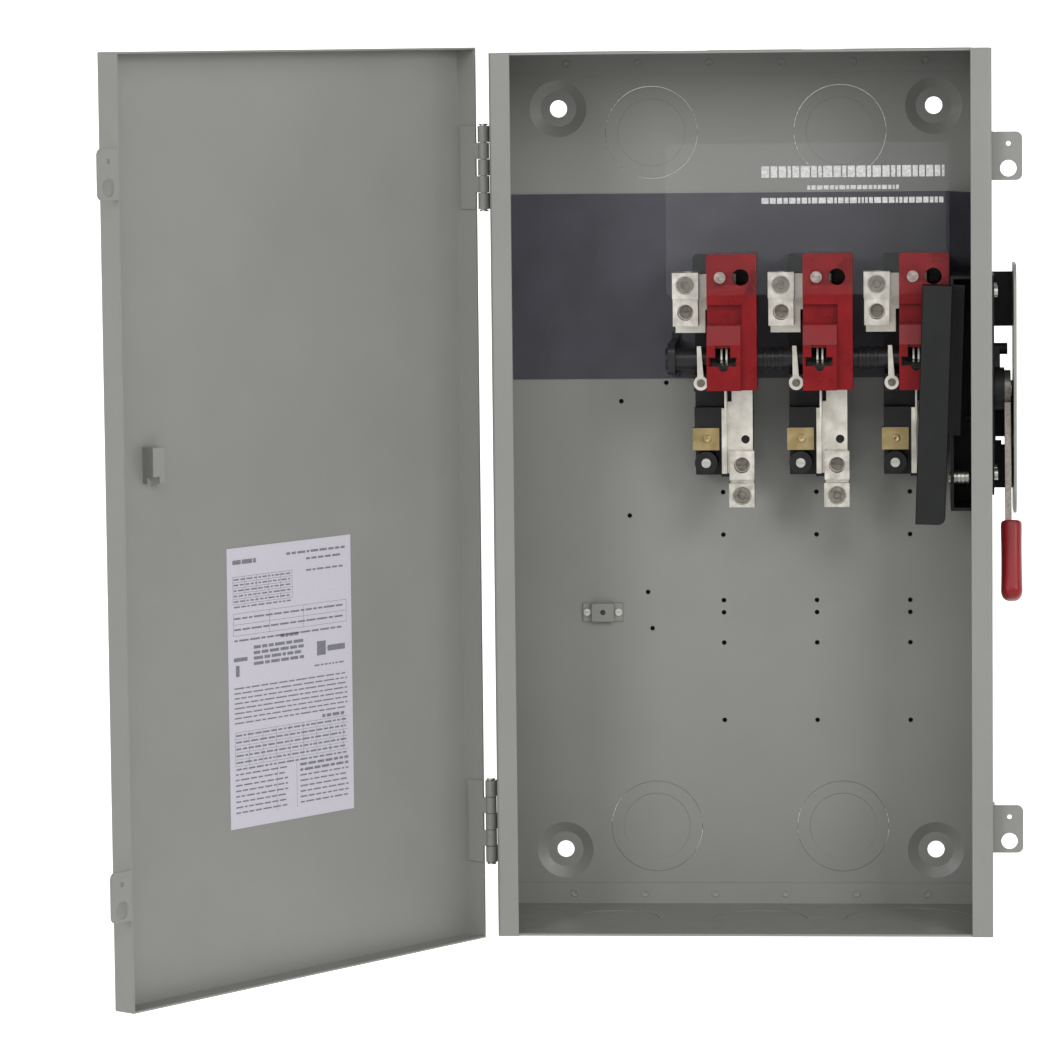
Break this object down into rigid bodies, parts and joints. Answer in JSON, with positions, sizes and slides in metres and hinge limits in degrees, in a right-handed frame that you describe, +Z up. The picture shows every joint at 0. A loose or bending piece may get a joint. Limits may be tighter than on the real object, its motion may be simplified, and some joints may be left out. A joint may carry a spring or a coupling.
{
  "type": "ac disconnect box",
  "caption": "Wall-mounted three-pole AC disconnect: grey steel box with hinged door, side handle, rotary blade switch, lugs, arc shields and a clear line shield.",
  "frame": {"origin": "centre of the four wall bolt holes, in the plane of the wall", "axes": "+X right, +Y into the wall, +Z up; the door opening faces -Y"},
  "size_m": [0.6801, 0.4744, 0.711],
  "materials": {
    "box_enamel": "satin light grey baked enamel over steel sheet",
    "zinc_steel": "bright zinc plate",
    "label_paper": "matt printed label",
    "liner_fibre": "dark vulcanised fibre sheet",
    "clear_polycarbonate": "clear, polished",
    "black_thermoset": "moulded black thermoset",
    "red_moulding": "moulded red polyester, semi-gloss",
    "plated_copper": "silver or tin plated copper bar",
    "lug_aluminium": "tin plated aluminium",
    "brass_plate": "rolled brass",
    "black_steel": "black oxide and paint",
    "guard_steel": "grey painted plate",
    "red_vinyl": "dipped red vinyl grip"
  },
  "bodies": {
    "enclosure": {"arc_shield_1": "red_moulding", "arc_shield_2": "red_moulding", "arc_shield_3": "red_moulding", "arc_shield_screws": "zinc_steel", "arm_rivets": "zinc_steel", "base_screws": "zinc_steel", "blind_nuts": "zinc_steel", "bottom_endwall": "box_enamel", "box_hasps": "box_enamel", "box_hinge_leaves": "box_enamel", "bracket_screws": "zinc_steel", "brass_straps": "brass_plate", "enclosure_wrap": "box_enamel", "ground_screws": "zinc_steel", "ground_strap": "box_enamel", "guard_plate": "guard_steel", "handle_bracket": "black_steel", "hinge_pins": "zinc_steel", "insulating_liner": "liner_fibre", "knockouts": "box_enamel", "line_contact_1": "plated_copper", "line_contact_2": "plated_copper", "line_contact_3": "plated_copper", "line_lug_1": "lug_aluminium", "line_lug_2": "lug_aluminium", "line_lug_3": "lug_aluminium", "line_shield": "clear_polycarbonate", "load_contact_1": "plated_copper", "load_contact_2": "plated_copper", "load_contact_3": "plated_copper", "load_lug_1": "lug_aluminium", "load_lug_2": "lug_aluminium", "load_lug_3": "lug_aluminium", "lug_screws": "zinc_steel", "mechanism_cover": "black_steel", "mechanism_frame": "black_steel", "pole_base_1": "black_thermoset", "pole_base_2": "black_thermoset", "pole_base_3": "black_thermoset", "rotor_bearing": "black_thermoset", "spring_anchor": "zinc_steel", "terminal_arms": "plated_copper", "top_endwall": "box_enamel", "wire_set_screws": "lug_aluminium"},
    "door": {"door_panel": "box_enamel", "door_hasps": "box_enamel", "door_catch": "box_enamel", "door_label": "label_paper", "door_hinge_leaves": "box_enamel"},
    "handle": {"handle_shaft": "zinc_steel", "handle_crank": "zinc_steel", "drive_spring": "zinc_steel", "handle_hub": "black_steel", "handle_lever": "zinc_steel", "handle_grip": "red_vinyl"},
    "rotor": {"rotor_bar": "black_thermoset", "rotor_crank": "zinc_steel", "blades_1": "plated_copper", "blades_2": "plated_copper", "blades_3": "plated_copper"}
  },
  "joints": [
    {"name": "door_hinge", "type": "hinge", "parent": "enclosure", "child": "door", "pos_m": [-0.203, -0.1341, 0], "axis": [0, 0, 1], "range_deg": [-35, 126]},
    {"name": "handle_turn", "type": "hinge", "parent": "enclosure", "child": "handle", "pos_m": [0.2, -0.075, 0.0795], "axis": [-1, 0, 0], "range_deg": [0, 144]},
    {"name": "rotor_turn", "type": "hinge", "parent": "enclosure", "child": "rotor", "pos_m": [0.0559, -0.075, 0.1045], "axis": [-1, 0, 0], "range_deg": [0, 80]}
  ],
  "couplings": [
    {"joint": "rotor_turn", "follows": "handle_turn", "ratio": 0.5555}
  ]
}
